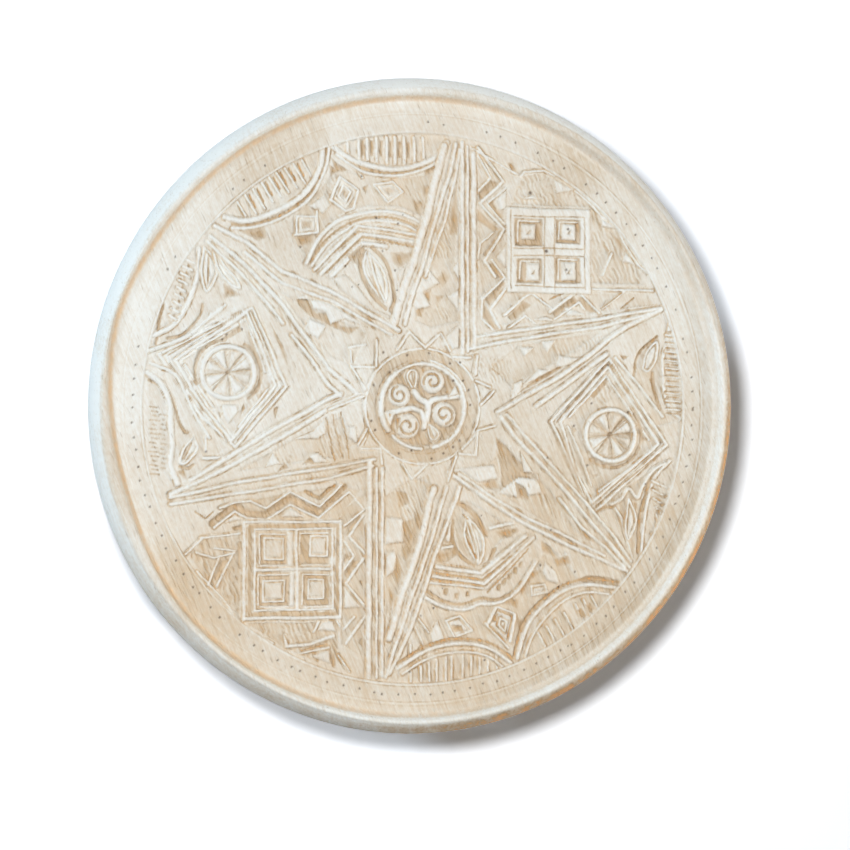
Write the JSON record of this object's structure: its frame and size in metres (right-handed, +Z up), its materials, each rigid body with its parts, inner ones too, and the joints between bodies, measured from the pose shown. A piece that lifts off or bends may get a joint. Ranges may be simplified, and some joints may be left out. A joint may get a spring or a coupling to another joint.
{
  "type": "round coffee table",
  "caption": "Low round table with a raised-lip tray top carved with a star, medallion and geometric panels, on turned legs with aprons and stretchers, in limed wood.",
  "frame": {"origin": "on the floor under the middle of the round top", "axes": "+Z up; the boards of the top run along Y; aprons and stretchers run along X and Y"},
  "size_m": [0.7, 0.7, 0.4],
  "materials": {
    "carved_top": "limed and worn, bare wood in the cuts",
    "limed_frame": "limed and worn on the edges",
    "bare_wood": "planed, unfinished",
    "peg_wood": "whittled, unfinished",
    "screw_steel": "dulled steel"
  },
  "bodies": {
    "root": {"top_board_1": "carved_top", "top_board_2": "carved_top", "top_board_3": "carved_top", "top_board_4": "carved_top", "top_board_5": "carved_top", "leg_front_left": "limed_frame", "leg_front_right": "limed_frame", "leg_back_right": "limed_frame", "leg_back_left": "limed_frame", "apron_front": "limed_frame", "apron_right": "limed_frame", "apron_back": "limed_frame", "apron_left": "limed_frame", "stretcher_front": "limed_frame", "stretcher_right": "limed_frame", "stretcher_back": "limed_frame", "stretcher_left": "limed_frame", "batten_front": "bare_wood", "batten_back": "bare_wood", "board_dowels": "bare_wood", "batten_pegs": "peg_wood", "apron_pegs": "peg_wood", "stretcher_pegs": "peg_wood", "batten_screws": "screw_steel"}
  },
  "joints": []
}
